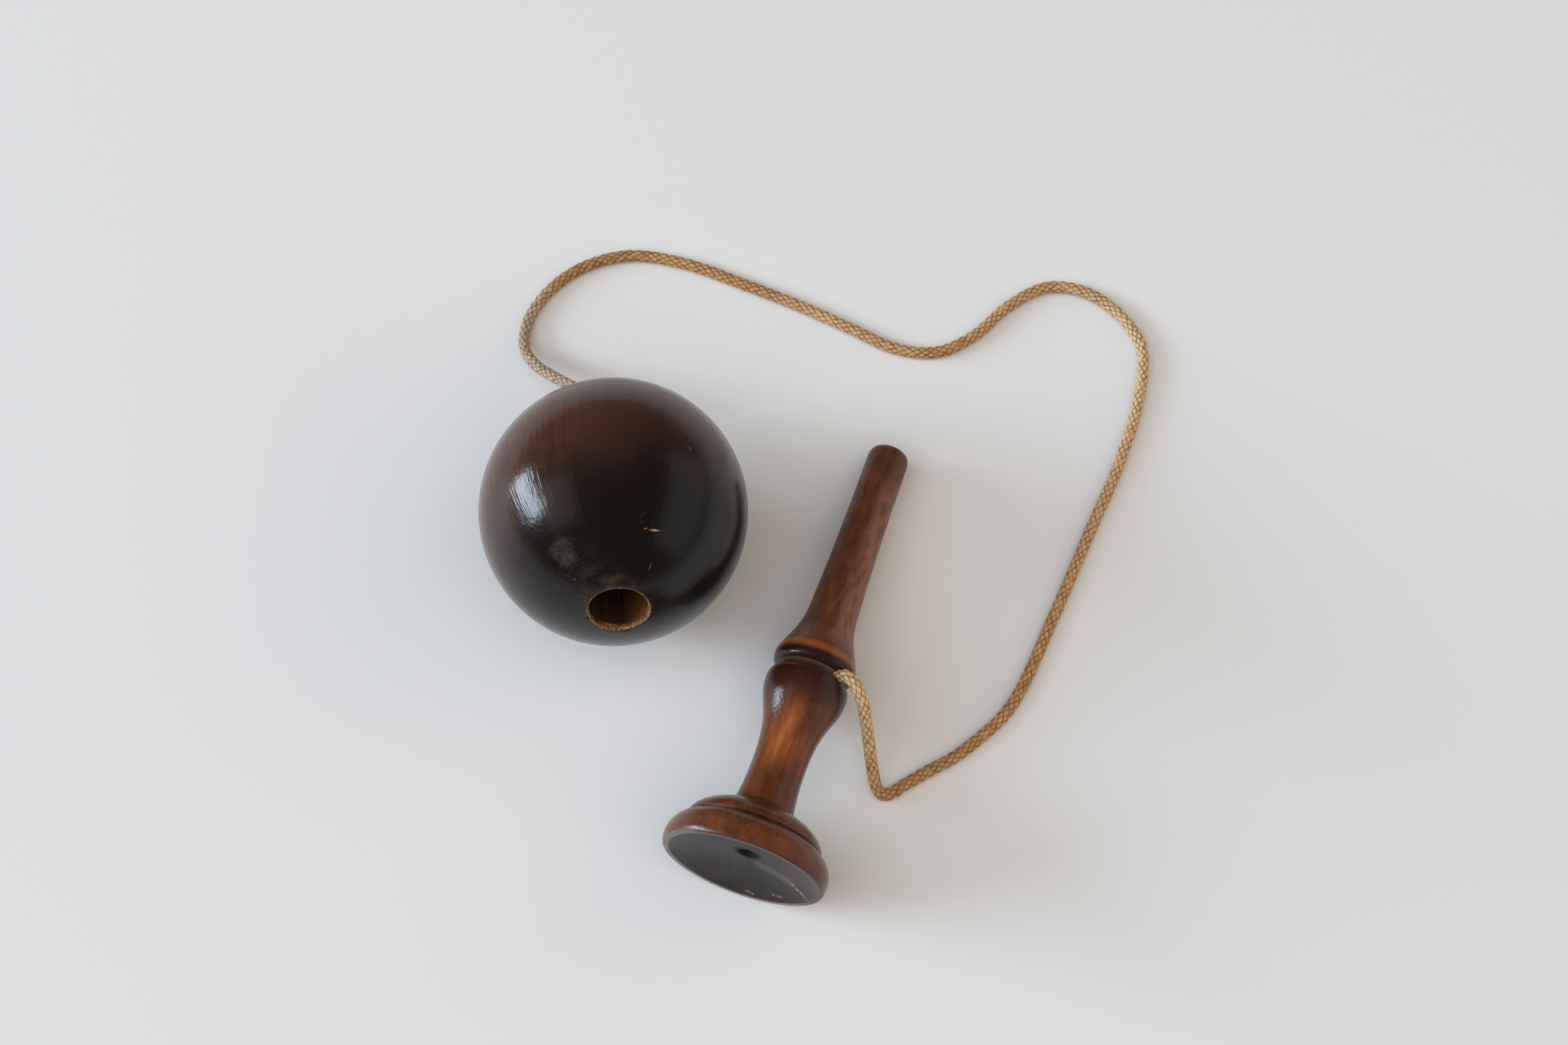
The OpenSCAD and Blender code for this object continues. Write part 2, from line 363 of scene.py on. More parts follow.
def handle_varnish(place):
    """Red-brown stain under varnish, worn to orange on the stem, with grime and painted shade in the
    turned lines.
    """
    material = new_finish("handle_varnish")
    own = own_place(material, place)
    aside, upward, height = part(own, "X"), part(own, "Y"), part(own, "Z")
    radius = from_axis(own)
    cloud = grain(own, 5.5, 15)
    mottle = grain(own, 2, 5)
    thread = grain(own, 0.9, 26, 2)
    fibre = grain(own, 0.3, 7, 2)
    speck = grain(own, 0.7, 0.7)

    # Stain: cloudy along the grain, and darker on the bulb
    wood = cloud.rise(0.3, 0.7).mix(stain(66, 33, 20), stain(104, 57, 30))
    wood = (mottle.rise(0.48, 0.75) * 0.5).mix(wood, stain(58, 29, 19))
    wood = (fibre.rise(0.45, 0.8) * 0.22).mix(wood, stain(138, 84, 46))
    dark_bulb = band(height, bulb_at + 2, 12) * (0.85 + 0.15 * cloud.rise(0.35, 0.65))
    wood = dark_bulb.mix(wood, stain(44, 20, 13))

    # Stem and rim: worn to orange where they are held
    held = 0.15 + 0.85 * band(aside, 1.2, 5)
    worn = band(height, waist_at + 6, 12) * held * (0.6 + 0.4 * cloud.rise(0.36, 0.6))
    worn = worn * (0.8 + 0.6 * thread.rise(0.35, 0.65)) + band(height, base_h / 2, 4.5) * 0.12
    wood = (worn * (0.5 + 0.5 * fibre)).mix(wood, stain(186, 108, 54))

    # Peg: dull and blotched, with a painted sheen on the side away from the ball, and dark at its tip
    peg = height.rise(collar_at + 2, collar_at + 8)
    toward_tip = height.rise(tip_at - 15, tip_at - 2)
    blotch = grain(own, 2.4, 6.5) * 0.7 + speck * 0.3
    wood = (peg * 0.55).mix(wood, stain(110, 62, 41))
    wood = (peg * blotch.rise(0.47, 0.62) * 0.5).mix(wood, stain(54, 27, 17))
    wood = (peg * (1 - blotch.rise(0.36, 0.46)) * 0.35).mix(wood, stain(138, 80, 42))
    # Painted sheen: a pale reflection of the wall along the peg's side away from the ball
    peg_painted_sheen = (1 - aside.rise(-4.5, 0.5)) * (0.1 + 0.9 * mottle.rise(0.3, 0.65))
    peg_painted_sheen = peg_painted_sheen * (1 - toward_tip)
    wood = (peg * peg_painted_sheen * 0.6).mix(wood, stain(150, 106, 82))
    wood = (toward_tip * 0.4).mix(wood, stain(58, 32, 24))

    # Turned lines: painted shade under the collar, grime in the steps, rubbed edges, dust in the
    # groove
    dark_to = collar_at + 0.4
    # Painted shade: the dark band under the collar, which faces down toward the groove
    under_collar = height.rise(groove_at + 0.3, groove_at + 0.9)
    under_collar = under_collar * (1 - height.rise(dark_to - 1, dark_to + 0.6))
    shade_and_grime = under_collar + band(height, base_h + step_w, 0.7) * 0.2
    shade_and_grime = shade_and_grime + band(height, bead_top + 0.4, 1.4) * 0.6
    wood = (shade_and_grime * (0.95 - 0.3 * fibre)).mix(wood, stain(32, 19, 17))
    rubbed = band(height, dark_to + 1.2, 2) * 0.75 + band(height, groove_at - 1.2, 0.7) * 0.25
    rubbed = rubbed + band(height, peg_root_at - 4.7, 0.4) * 0.2
    wood = (rubbed * (0.5 + mottle)).mix(wood, stain(156, 88, 46))
    dusty = band(height, groove_at + 0.6, 0.35) + band(height, groove_at, 0.8) * 0.4
    wood = (dusty * (0.2 + 0.5 * speck)).mix(wood, stain(122, 100, 80))

    def scuff(start, end, width):
        """1 along a line in the hollow between two places seen from its front, 0 at width from it."""
        first, run = Vector((*start, 0)), Vector((*end, 0)) - Vector((*start, 0))
        share = ((along_way(own, run) - first.dot(run)) / run.length_squared).rise(-0.2, 1.2)
        near = spot_of(first.x + run.x * share, first.y + run.y * share, height)
        return 1 - away_from(own, near).rise(0.2 * width, width)

    # Hollow of the cup: nearly black, with painted shade in a ring at its edge, scuffed grey and tan,
    # and black in the lathe mark
    in_cup = 1 - radius.rise(cup_r - 0.1, cup_r + 0.15)
    in_cup = in_cup * (1 - height.rise(cup_floor + 1, cup_floor + 2))
    cup_wood = cloud.rise(0.35, 0.65).mix(stain(24, 19, 17), stain(42, 33, 28))
    # Painted shade: a dark ring at the hollow's edge, under the lip
    cup_wood = (band(height, 0.4, 1.2) * 0.6).mix(cup_wood, stain(36, 21, 17))
    cup_wood = (scuff((-4, -5), (-12, -5.6), 2.6) * 0.4).mix(cup_wood, stain(110, 100, 84))
    tan = scuff((-12.6, -6), (-17.6, -8), 0.9) + scuff((-1.4, -18.2), (-3, -18.2), 0.6)
    tan = tan + scuff((-8.6, -15.2), (-11, -14.4), 0.5)
    cup_wood = (tan * speck.rise(0.4, 0.6)).mix(cup_wood, stain(156, 130, 92))
    in_mark = 1 - (radius + (mottle - 0.5) * 2).rise(mark_r - 0.2, mark_r + 2)
    cup_wood = in_mark.mix(cup_wood, stain(12, 9, 8))
    wood = in_cup.mix(wood, cup_wood)

    # Lip: pale on its low side and on the side toward the ball, partly from scrapes where it stands
    # on the table and partly painted reflection
    lip = band(height, 0, 0.6) * radius.rise(cup_r - 0.1, cup_r + 0.2)
    low_side = 1 - upward.rise(-15, -8)
    # Partly scrapes, partly a painted reflection of the bright table and the window
    lip_scrapes_and_sheen = lip * low_side.most(aside.rise(8, 16) * 0.8)
    wood = (lip * (0.6 + 0.2 * speck)).mix(wood, stain(58, 43, 37))
    wood = (lip_scrapes_and_sheen * (0.25 + 0.5 * speck.rise(0.5, 0.66))).mix(wood, stain(176, 164, 148))

    rough = 0.12 + 0.12 * mottle + 0.16 * in_cup + 0.16 * lip + 0.4 * in_mark * in_cup + 0.2 * peg
    fine = fibre * 0.6 + grain(own, 0.7, 16, 2) * 0.4
    bump = fine.node("Bump", {}, {"Strength": 0.45, "Distance": 0.0002, "Height": fine})
    coat(material, {"Base Color": wood, "Roughness": rough, "Specular IOR Level": 0.4,
                    "Normal": bump})
    return material


mounts = frame["record"]["mounts"]
lip_mount = named(mounts, "cup_lip")
handle_foot = Vector(lip_mount["pos_m"]) - Vector((cup_r + lip_w / 2, 0, 0)) * MM
handle_place = laid(handle_foot, -Vector(lip_mount["axis"]).normalized())
groove_mid = handle_place @ Vector((0, 0, groove_at * MM))
hole_mouth = Vector(named(frame["joints"], "ball_swing")["pos_m"])
hole_way = (hole_mouth - groove_mid).normalized()
hole_place = laid(groove_mid, hole_way)

handle_mesh = turned(handle_outline, handle_sides)
soften(handle_mesh, sharp_turn, edge_wear)
handle = piece("turned_handle", handle_mesh, handle_place)
bit = bmesh.new()
bit_len = cord_grip + bulb_r
bmesh.ops.create_cone(bit, cap_ends=True, segments=cord_hole_sides, radius1=cord_hole_r,
                      radius2=cord_hole_r, depth=bit_len,
                      matrix=Matrix.Translation((0, 0, groove_r - cord_grip + bit_len / 2)))
drill(handle, piece("bit", bit, hole_place))
frayed = bmesh.new()
frayed.from_mesh(handle.data)
for x, y, length in splinters:
    bmesh.ops.create_cone(frayed, cap_ends=True, segments=6, radius1=splinter_r * MM,
                          radius2=splinter_r * MM / 3, depth=length * MM,
                          matrix=handle_place @ Matrix.Translation(Vector((x, y, handle_len)) * MM))
frayed.to_mesh(handle.data)
frayed.free()
handle.data.materials.append(handle_varnish(handle_place))
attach(handle, "handle")
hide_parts("handle")

# Cord: a waxed cotton braid, tan and a little greyer near the ball. One end is glued into the
# handle's groove and the other goes into the back of the ball, and it lies loose on the table.
cord_d = 3.2
cord_r = cord_d / 2
cord_margin = 0.4
cord_tuck = 1
strands, strand_gap = 6, 2.5
strand_round, strand_dive = 0.9, 0.7
braid_swell, braid_depth = 0.12, 0.5
cord_sides, ring_gap = 48, 0.26
route = [
    (49.2, -7.3, 22.4), (52.3, -10.3, 20), (54.5, -13.7, 16), (56.5, -17.2, 11.5),
    (58.5, -20.8, 7.2), (60.6, -24.6, 4), (62.3, -26.9, 2.3), (64.1, -27.9, 1.6), (66, -27, 1.6),
    (69, -23.4, 1.6), (73.5, -18.3, 1.6), (80.5, -10.5, 1.6), (89.5, 6, 1.6), (93.2, 32, 1.6),
    (96, 60, 1.6), (98.4, 84, 1.6), (98.3, 104, 1.6), (95, 119, 1.6), (86.5, 127, 1.6),
    (75, 131, 1.6), (64, 129, 1.6), (55.4, 120, 1.6), (48.4, 107.5, 1.6), (40, 99.4, 1.6),
    (28.5, 96.7, 1.6), (14.5, 98.6, 1.6), (-1, 100.7, 1.6), (-20, 102.3, 1.6), (-37, 103.1, 1.6),
    (-53, 100.6, 1.6), (-64.5, 93, 1.6), (-71.2, 83, 1.6), (-73.8, 72, 1.6), (-71.5, 63, 2.6),
    (-66, 58, 5.5), (-59, 54.5, 10), (-51, 51.5, 14.2), (-43.5, 49, 17.5), (-38.5, 45.8, 19.8),
]
# Stretches of another tone: their middle along the cord, half their core, half their length
# and their strength.
bleached = ((186, 12, 62, 0.78), (132, 0, 26, 0.28), (248, 0, 18, 0.2), (302, 0, 36, 0.48))
soiled = ((47, 0, 24, 0.4), (372, 0, 24, 0.5))
pale_len, grey_len = 55, 70


def smooth_line(points, first_way, last_way, steps=24):
    """A smooth line through the points that leaves and ends along the given ways."""
    ways = [first_way]
    for before, here, after in zip(points, points[1:], points[2:]):
        ways.append((after - before) / ((after - here).length + (here - before).length))
    ways.append(last_way)
    line = []
    for i, (a, b) in enumerate(zip(points, points[1:])):
        span = (b - a).length
        for k in range(steps):
            u = k / steps
            v = 1 - u
            line.append(v * v * (1 + 2 * u) * a + u * u * (3 - 2 * u) * b
                        + span * u * v * (v * ways[i] - u * ways[i + 1]))
    return [*line, points[-1]]


def evenly(line, gap):
    """The line again, in steps of about gap, and its length."""
    reach = [0]
    for a, b in zip(line, line[1:]):
        reach.append(reach[-1] + (b - a).length)
    count = round(reach[-1] / gap)
    points = []
    k = 0
    for i in range(count + 1):
        at = reach[-1] * i / count
        while k < len(line) - 2 and reach[k + 1] < at:
            k += 1
        points.append(line[k].lerp(line[k + 1], (at - reach[k]) / (reach[k + 1] - reach[k])))
    return points, reach[-1]


def braid(along, turn):
    """How far the braid stands up, from 0 to 1, where its strands pass over each other by turns."""
    right = strands * turn + along / strand_gap
    left = strands * turn - along / strand_gap
    beside, under = 2 * (right % 1) - 1, 2 * (left % 1) - 1
    if (math.floor(right) + math.floor(left)) % 2:
        beside, under = under, beside
    return math.sqrt((1 - strand_round * beside * beside) * (1 - strand_dive * under * under))


def braided(name, line, radius, sides=cord_sides, gap=ring_gap):
    """A braided tube along a line of millimetres. It is a sheet of braid rolled to a tube."""
    rings, length = evenly(line, gap)
    last = len(rings) - 1
    ways = [(rings[min(i + 1, last)] - rings[max(i - 1, 0)]).normalized() for i in range(last + 1)]
    side = ways[0].orthogonal()
    sides_out = []
    for way in ways:
        side = (side - way * side.dot(way)).normalized()
        sides_out.append((side, way.cross(side)))

    bm = bmesh.new()
    sheet_map = bm.loops.layers.uv.new("braid")
    bmesh.ops.create_grid(bm, x_segments=last, y_segments=sides, size=0.5, calc_uvs=True)
    for face in bm.faces:
        for loop in face.loops:
            spot = loop.vert.co
            loop[sheet_map].uv = ((spot.x + 0.5) * length, spot.y + 0.5)
    for vert in bm.verts:
        i = round((vert.co.x + 0.5) * last)
        turn = vert.co.y + 0.5
        dip = 1 - braid(length * i / last, turn % 1)
        out, up = sides_out[i]
        swell = (cord_r + braid_swell - braid_depth * dip) * radius / cord_r
        angle = 2 * math.pi * turn
        vert.co = rings[i] + swell * (math.cos(angle) * out + math.sin(angle) * up)
        vert.co.z = max(vert.co.z, 0)
    bmesh.ops.remove_doubles(bm, verts=bm.verts, dist=0.001)
    ends = [e for e in bm.edges if e.is_boundary]
    bmesh.ops.holes_fill(bm, edges=ends, sides=0)
    bmesh.ops.recalc_face_normals(bm, faces=bm.faces)
    return piece(name, bm, Matrix()), rings, length


def waxed_cotton(name, pale_to, grey_from):
    """Tan waxed cotton with painted shade between its strands: paler up to pale_to along the cord,
    and greyer from grey_from.
    """
    material = new_finish(name)
    sheet = Tone(material.node_tree).node("UVMap", {"uv_map": "braid"}, {})
    along, turn = part(sheet, "X"), part(sheet, "Y")

    # Braid: which strand lies over at each crossing, its threads, and painted shade in the gaps round
    # it
    right = turn * strands + along / strand_gap
    left = turn * strands - along / strand_gap
    right_strand, left_strand = right - right.fract(), left - left.fract()
    left_over = 2 * ((right_strand + left_strand) / 2).fract()
    across = right + left_over * (left - right)
    thread = clouds(spot_of(across, turn * strands), (1 / 6, 1, 1), 2)
    shade = across.node("TexWhiteNoise", {"noise_dimensions": "2D"},
                        {"Vector": spot_of(right_strand, left_strand)})
    rubbed = clouds(spot_of(along, turn * strands), (2, 1, 1), 2).rise(0.35, 0.7)
    right_edge, left_edge = abs(2 * right.fract() - 1), abs(2 * left.fract() - 1)
    # Painted shade in the crevices between the strands, fainter where the cord is rubbed
    gap = right_edge.most(left_edge).rise(0.45, 1) * (1 - 0.7 * rubbed)

    def stretches(rows):
        """How far a spot lies in any of the stretches, each at its strength."""
        return sum(band(along, middle, half, core) * share for middle, core, half, share in rows)

    # Cotton: tan by stretches, bleached and soiled in places, and lined with painted shade between
    # its strands
    stretch = along.node("TexNoise", {"noise_dimensions": "1D"},
                         {"W": along / 26, "Scale": 1, "Detail": 2})
    cotton = stretch.rise(0.35, 0.65).mix(stain(174, 124, 68), stain(194, 147, 90))
    cotton = stretches(bleached).mix(cotton, stain(228, 198, 156))
    cotton = stretches(soiled).mix(cotton, stain(140, 92, 44))
    cotton = (1 - along.rise(pale_to - 32, pale_to - 12)).mix(cotton, stain(226, 192, 146))
    cotton = along.rise(grey_from, grey_from + 11).mix(cotton, stain(164, 153, 132))
    cotton = (shade * 0.4).mix(cotton, stain(226, 196, 150))
    cotton = (thread.rise(0.4, 0.65) * 0.3).mix(cotton, stain(142, 94, 48))
    cotton = (gap * 0.9).mix(cotton, stain(100, 60, 26))
    bump = thread.node("Bump", {}, {"Strength": 0.3, "Distance": 0.0001, "Height": thread})
    coat(material, {"Base Color": cotton, "Roughness": 0.5 + 0.3 * gap, "Sheen Weight": 0.1,
                    "Normal": bump})
    return material


spin = named(frame["joints"], "ball_spin")
ball_mid = Vector(spin["pos_m"])
bore_way = Vector(spin["axis"]).normalized()
ball_r = (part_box("ball")[1].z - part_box("ball")[0].z) / 2 / MM
cord_start = groove_mid / MM + (max(bulb_r, collar_r) + cord_margin) * hole_way
cord_end = ball_mid / MM - (ball_r + cord_margin) * bore_way
tucked_end = cord_end + (cord_margin + cord_tuck) * bore_way
cord_line = smooth_line([cord_start, *map(Vector, route), cord_end], hole_way, bore_way)
for point in cord_line:
    point.z = max(point.z, cord_r)
cord_line = [hole_mouth / MM, *cord_line, tucked_end]
cord, cord_rings, cord_len = braided("braided_cord", cord_line, cord_r)
cord.data.materials.append(waxed_cotton("braided_cord", pale_len, cord_len - grey_len))
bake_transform(cord)
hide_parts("cord")

glued_line = [groove_mid / MM + (groove_r - cord_grip) * hole_way, hole_mouth / MM]
glued_end, *_ = braided("cord_end_in_handle", glued_line, cord_r)
glued_end.data.materials.append(waxed_cotton("cord_in_handle", 90, 200))
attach(glued_end, "handle")
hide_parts("cord_in_handle")

# Ball: turned from dark wood and varnished nearly black, with a bore for the peg along the
# grain. The varnish is chipped and scuffed, and the bore's mouth is worn to bare wood.
bore_r = named(mounts, "ball_bore")["dims"]["r_mm"]
bore_wear = 0.6
back_wall, pocket_depth, pocket_r = 6, 7, 4.7
ball_sides = 256
near_mouth, at_mouth = 28, 32
gouge_start, gouge_end, gouge_w, gouge_depth = (40.1, 64.8), (40.9, 57.2), 0.42, 0.25
mouth_ripple, mouth_chips = 0.15, ((-80.5, 16, 0.3), (-168, 11, 0.3))
pocket_floor = back_wall - ball_r
bore_floor = pocket_floor + pocket_depth
ball_place = laid(ball_mid, bore_way)


def ball_outline(round_steps=150, wear_steps=4, wall_steps=24):
    """Half the ball's section, from the cord's hole over the round to the bore and back."""
    mouth_r = bore_r + bore_wear
    first = math.asin(cord_hole_r / ball_r)
    last = math.pi - math.asin(mouth_r / ball_r)
    points = []
    for i in range(round_steps + 1):
        turn = first + (last - first) * i / round_steps
        points.append((ball_r * math.sin(turn), -ball_r * math.cos(turn)))
    mouth_z = points[-1][1]
    for i in range(1, wear_steps + 1):
        share = i / wear_steps
        points.append((mouth_r - bore_wear * share, mouth_z - bore_wear * share * share))
    wall_top = mouth_z - bore_wear
    for i in range(1, wall_steps + 1):
        points.append((bore_r, wall_top + (bore_floor - wall_top) * i / wall_steps))
    return [*points, (pocket_r, bore_floor), (pocket_r, pocket_floor),
            (cord_hole_r, pocket_floor), points[0]]


def on_ball(from_bore, around):
    """A place on the ball's round, by its angle from the bore and its turn about it."""
    tilt, turn = math.radians(from_bore), math.radians(around)
    return ball_r * Vector((math.sin(tilt) * math.cos(turn), math.sin(tilt) * math.sin(turn),
                            math.cos(tilt)))


def gouge(bm):
    """Takes a long chip out of the ball's round, on a finer mesh there."""
    first = on_ball(*gouge_start)
    run = on_ball(*gouge_end) - first
    middle = first + run / 2
    chipped = [e for e in bm.edges if (e.verts[0].co - middle).length < run.length]
    bmesh.ops.subdivide_edges(bm, edges=chipped, cuts=3, use_grid_fill=True)
    for vert in bm.verts:
        share = min(max((vert.co - first).dot(run) / run.length_squared, 0), 1)
        away = (vert.co - first - share * run).length + abs(2 * share - 1) * 0.6 * gouge_w
        if away < gouge_w:
            vert.co -= vert.co.normalized() * gouge_depth * (1 - away / gouge_w)


def wear_mouth(bm):
    """Wears the edge of the bore's mouth unevenly, and chips it in places."""
    for vert in bm.verts:
        reach = math.hypot(vert.co.x, vert.co.y)
        if vert.co.z > 0 and bore_r - 0.1 < reach < bore_r + 2 * bore_wear:
            turn = math.degrees(math.atan2(vert.co.y, vert.co.x))
            wear = mouth_ripple * noise.noise(vert.co * 0.8)
            for middle, half, depth in mouth_chips:
                off = abs((turn - middle + 180) % 360 - 180)
                wear += depth * max(0, 1 - off / half) * (0.8 + 0.4 * noise.noise(vert.co))
            vert.co -= vert.co.normalized() * max(0, wear)


def ball_varnish(place):
    """Near-black brown varnish, browner away from the bore, over wood that shows where it chips."""
    material = new_finish("ball_varnish")
    own = own_place(material, place)
    right, height = part(own, "X"), part(own, "Z")
    radius = from_axis(own)

    def ribs(across, along, detail):
        """Noise drawn out along the ball's meridians, with the size of its marks at its middle."""
        reach = radius * (across / ball_r)
        return clouds(own, spot_of(reach, reach, along), detail)

    def spot(from_bore, around, size):
        """1 at a place on the ball, falling to 0 at size millimetres from it."""
        return 1 - away_from(own, on_ball(from_bore, around)).rise(0, size)

    def scratch(start, end, width):
        """1 along a line between two places on the ball, thinning to nothing at its ends."""
        first, run = on_ball(*start), on_ball(*end) - on_ball(*start)
        share = (along_way(own, run) - first.dot(run)) / run.length_squared
        share = share.most(0).least(1)
        near = share.node("VectorMath", {"operation": "SCALE"}, {0: run, "Scale": share})
        near = near.node("VectorMath", {"operation": "ADD"}, {0: near, 1: first})
        thinned = away_from(own, near) + abs(2 * share - 1) * (0.6 * width)
        return 1 - thinned.rise(0.4 * width, width)

    streak = ribs(1.4, 40, 3)
    fibre = ribs(0.4, 22, 2)
    blotch = grain(own, 16, 24, 2)
    smear = grain(own, 3, 3, 4)
    speck = grain(own, 0.6, 0.6)

    # Stain: brown along the grain at the back, and nearly black toward the bore
    brown = streak.rise(0.2, 0.8).mix(stain(66, 39, 28), stain(80, 49, 35))
    brown = (fibre.rise(0.5, 0.8) * 0.2).mix(brown, stain(98, 63, 46))
    dark = streak.rise(0.3, 0.7).mix(stain(11, 7, 6), stain(16, 11, 9))
    toward_bore = (height + 0.3 * right + (blotch - 0.5) * 20 + (streak - 0.5) * 5).rise(-12, 25)
    varnish = toward_bore.mix(brown, dark)

    # Dust: a dull patch, and a scatter of it over the bore
    patch = spot(35, 125.5, 6.5) * 1.3 + (smear - 0.5) * 1.6
    dull = patch.rise(0.2, 1.5) * (0.4 + 0.8 * speck.rise(0.3, 0.7))
    halo = (1 - radius.rise(bore_r + 0.8, bore_r + 5.5)) * height.rise(near_mouth, near_mouth + 2)
    scatter = spot(25, 122, 11) * 0.5 + spot(15, 88, 6.5) + halo * 0.5
    dust = scatter * (smear * 0.5 + speck * 0.5).rise(0.36, 0.78)
    varnish = (dull * 0.42).mix(varnish, stain(98, 91, 76))
    varnish = (dust * 0.45).mix(varnish, stain(98, 86, 67))

    # Marks: a faint curl, and bare wood in the gouge and in a few chips
    curl = scratch((41.5, 69), (44, 71.5), 0.3) + scratch((44, 71.5), (46.5, 70.5), 0.3)
    curl = curl + scratch((46.5, 70.5), (46.5, 67.5), 0.3)
    varnish = (curl * 0.06).mix(varnish, stain(132, 122, 108))
    chips = scratch(gouge_start, gouge_end, gouge_w) + scratch((40, 68), (40.6, 66), 0.3) * 0.5
    chips = chips + scratch((24, 53), (27.5, 54), 0.14) * 0.5
    chips = chips + spot(79.1, 51.7, 1) * 0.3 * speck.rise(0.4, 0.6) + spot(24.2, 133.6, 0.5) * 0.2
    varnish = (chips * (0.5 + speck)).mix(varnish, stain(192, 152, 100))

    # Bore: bare brown wood, paler on its right wall, with a worn edge at its mouth
    bore_wood = grain(own, 0.35, 30, 2).rise(0.35, 0.7).mix(stain(30, 17, 9), stain(64, 39, 19))
    pale_side = right.rise(0, bore_r) * height.rise(8, 30)
    bore_wood = (pale_side * (0.4 + 0.6 * smear)).mix(bore_wood, stain(128, 84, 42))
    in_bore = 1 - radius.rise(bore_r + 0.05, bore_r + 0.3)
    in_bore = in_bore * height.rise(pocket_floor - 1, pocket_floor)
    worn = 1 - abs(radius - bore_r - 0.3 + (smear - 0.5) * 0.8).rise(0.1, 0.4)
    worn = worn * height.rise(at_mouth, at_mouth + 0.5)
    rim = speck.rise(0.35, 0.65).mix(stain(92, 65, 44), stain(166, 122, 82))
    varnish = in_bore.mix(varnish, bore_wood)
    varnish = worn.mix(varnish, rim)

    # Gloss: dull on dust and bare wood, and glossier over brush marks on the left side
    bare = in_bore.most(worn)
    brushed = (1 - right.rise(-17, -6)) * (1 - height.rise(17, 26))
    rough = 0.17 + 0.1 * smear - 0.06 * brushed + 0.2 * dull + 0.2 * dust + 0.5 * bare
    fine = ribs(0.75, 9, 3) * (0.1 + 0.75 * brushed) + streak * 0.3 + grain(own, 1.1, 1.1, 2) * 0.4
    bump = fine.node("Bump", {}, {"Strength": 0.45, "Distance": 0.0002, "Height": fine})
    coat(material, {"Base Color": varnish, "Roughness": rough, "Specular IOR Level": 0.38,
                    "Normal": bump})
    return material


ball_mesh = turned(ball_outline(), ball_sides)
gouge(ball_mesh)
wear_mouth(ball_mesh)
bmesh.ops.recalc_face_normals(ball_mesh, faces=ball_mesh.faces)
ball = piece("turned_ball", ball_mesh, ball_place)
ball.data.materials.append(ball_varnish(ball_place))
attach(ball, "ball")
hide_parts("ball")

# Stopper knot: the cord comes in through the ball's back and is knotted in a pocket under the
# bore's floor, so that the ball can't pull off it. The knot is a plain overhand knot.
knot_room = 0.3
knot_cord_r, knot_sides = 1.2, 20
knot_lobe, knot_rise = 1.0, 1.5
knot_first, knot_last, knot_steps = 0.25 * math.pi, 2 * math.pi, 40
knot_foot = pocket_floor + knot_room
knot_mid = knot_foot + knot_rise + knot_cord_r

through_line = [tucked_end, ball_mid / MM + knot_foot * bore_way]
cord_through, *_ = braided("cord_through_ball", through_line, cord_r)
cord_through.data.materials.append(waxed_cotton("cord_in_ball", -40, -40))
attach(cord_through, "cord_end")
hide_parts("cord_in_ball")

knot_points = [Vector((0, 0, knot_foot))]
for i in range(knot_steps):
    t = knot_first + (knot_last - knot_first) * i / (knot_steps - 1)
    knot_points.append(Vector((
        knot_lobe * (math.sin(t) + 2 * math.sin(2 * t)),
        knot_lobe * (math.cos(t) - 2 * math.cos(2 * t)),
        knot_mid - knot_rise * math.sin(3 * t),
    )))
up_bore = Vector((0, 0, 1))
knot_line = [(ball_place @ (p * MM)) / MM for p in smooth_line(knot_points, up_bore, up_bore, 4)]
knot, *_ = braided("stopper_knot", knot_line, knot_cord_r, knot_sides)
knot.data.materials.append(waxed_cotton("knot", -40, 200))
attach(knot, "cord_end")
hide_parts("ball_knot")
cord_len * MM
[p * MM for p in cord_rings]

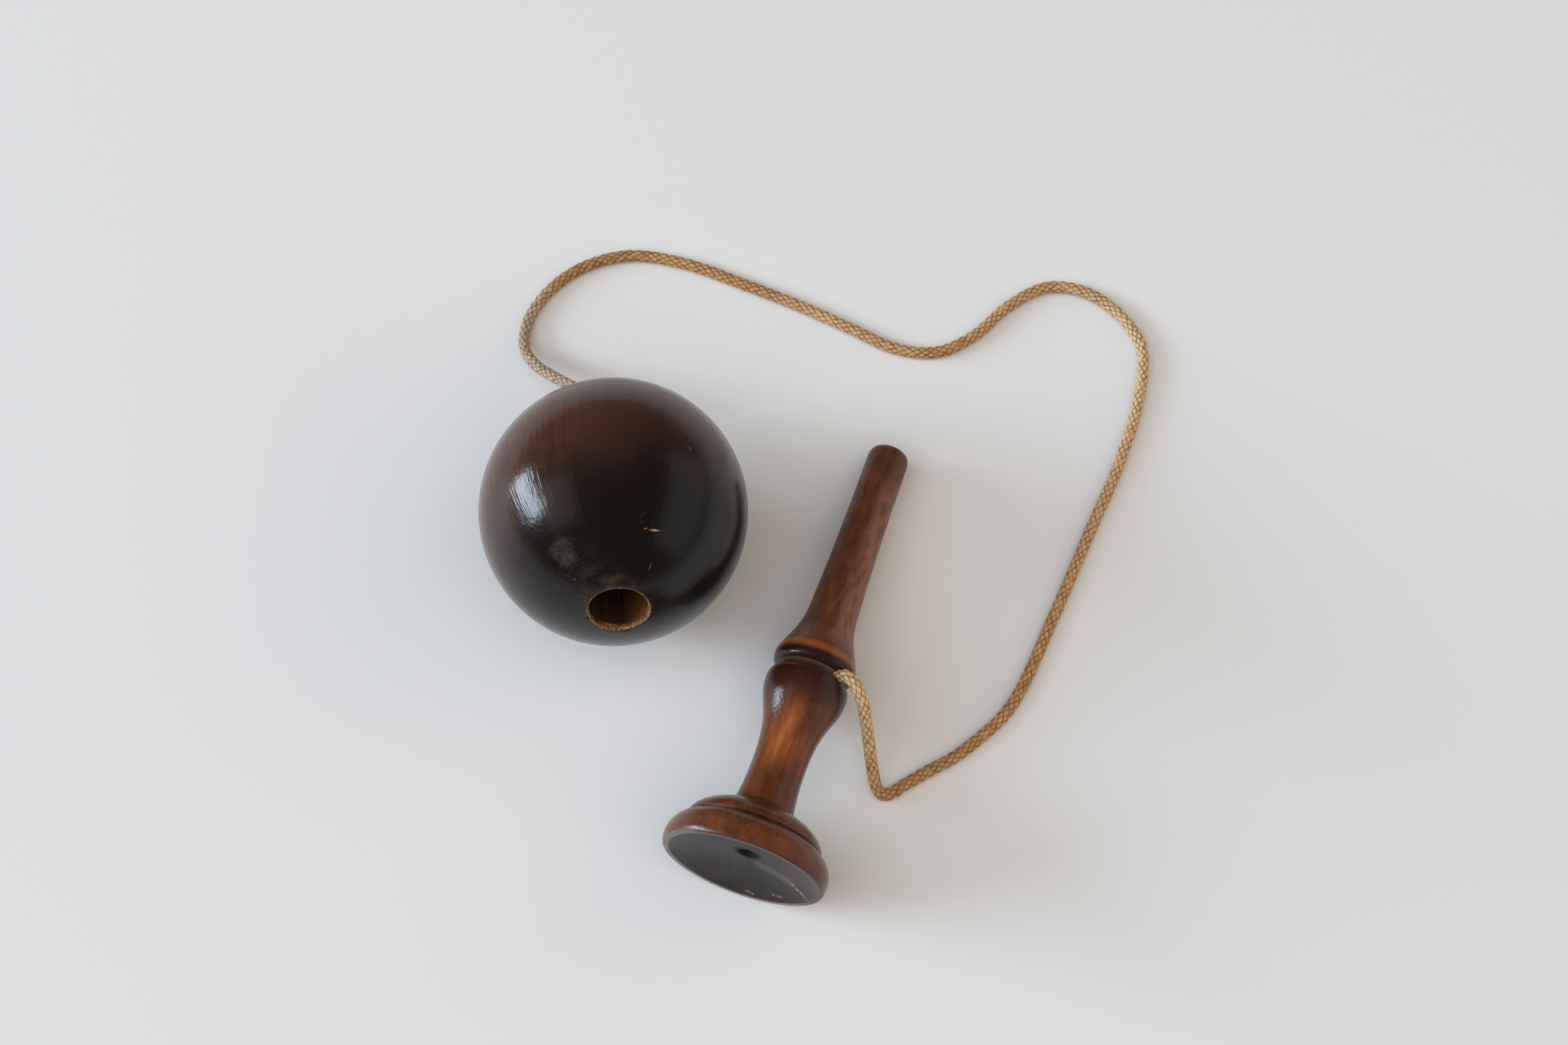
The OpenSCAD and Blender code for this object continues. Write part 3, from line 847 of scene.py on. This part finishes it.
# Table: a plain pale painted top under the toy.
table_half = 3
top = bmesh.new()
bmesh.ops.create_grid(top, x_segments=1, y_segments=1, size=table_half / MM)
table = piece("table_top", top, Matrix())
paint = new_finish("table_paint")
coat(paint, {"Base Color": stain(226, 229, 229), "Roughness": 0.6})
table.data.materials.append(paint)


# Light: a window on the left, the pale wall round it and the wall across the room show in the
# varnish. Wider lights without a reflection stand for the rest of the room and its ceiling.
def soft_light(name, azimuth, elevation, away, size, watts, colour, mirrored=True, roll=0):
    """A soft rectangular light that faces the toy, and shows in varnish only if mirrored."""
    lamp = bpy.data.lights.new(name, "AREA")
    lamp.shape = "RECTANGLE"
    lamp.size, lamp.size_y = size
    lamp.energy = watts
    lamp.color = colour
    made = bpy.data.objects.new(name, lamp)
    turn, tilt = math.radians(azimuth), math.radians(elevation)
    way = Vector((math.cos(turn) * math.cos(tilt), math.sin(turn) * math.cos(tilt), math.sin(tilt)))
    made.location = looked_at + away * way
    facing = way.to_track_quat("Z", "Y").to_matrix() @ Matrix.Rotation(math.radians(roll), 3, "Z")
    made.rotation_euler = facing.to_euler()
    made.visible_glossy = mirrored
    bpy.context.scene.collection.objects.link(made)


soft_light("window", azimuth=-165, elevation=18, away=5, size=(3.2, 1.3), watts=190,
           colour=(0.85, 1, 1.18), roll=30)
soft_light("window_wall", azimuth=-151, elevation=46, away=5, size=(3.4, 2.6), watts=17,
           colour=(1.25, 1, 0.95))
soft_light("near_wall", azimuth=-155, elevation=38, away=5, size=(6, 3.4), watts=55,
           colour=(0.76, 1, 1.3), mirrored=False)
soft_light("far_wall", azimuth=15, elevation=24, away=2.8, size=(4.2, 1.8), watts=11,
           colour=(0.98, 1, 1))
soft_light("far_room", azimuth=10, elevation=35, away=3, size=(5, 3), watts=19,
           colour=(1.35, 1, 0.5), mirrored=False)
soft_light("ceiling", azimuth=-82, elevation=71, away=4, size=(5, 5), watts=77,
           colour=(1.08, 1, 1), mirrored=False)

world = bpy.data.worlds.new("room")
bpy.context.scene.world = world
world.use_nodes = True
room = world.node_tree.nodes["Background"]
room.inputs["Color"].default_value = (1, 0.9, 0.74, 1)
room.inputs["Strength"].default_value = 0.15
bpy.context.scene.view_settings.view_transform = "Standard"
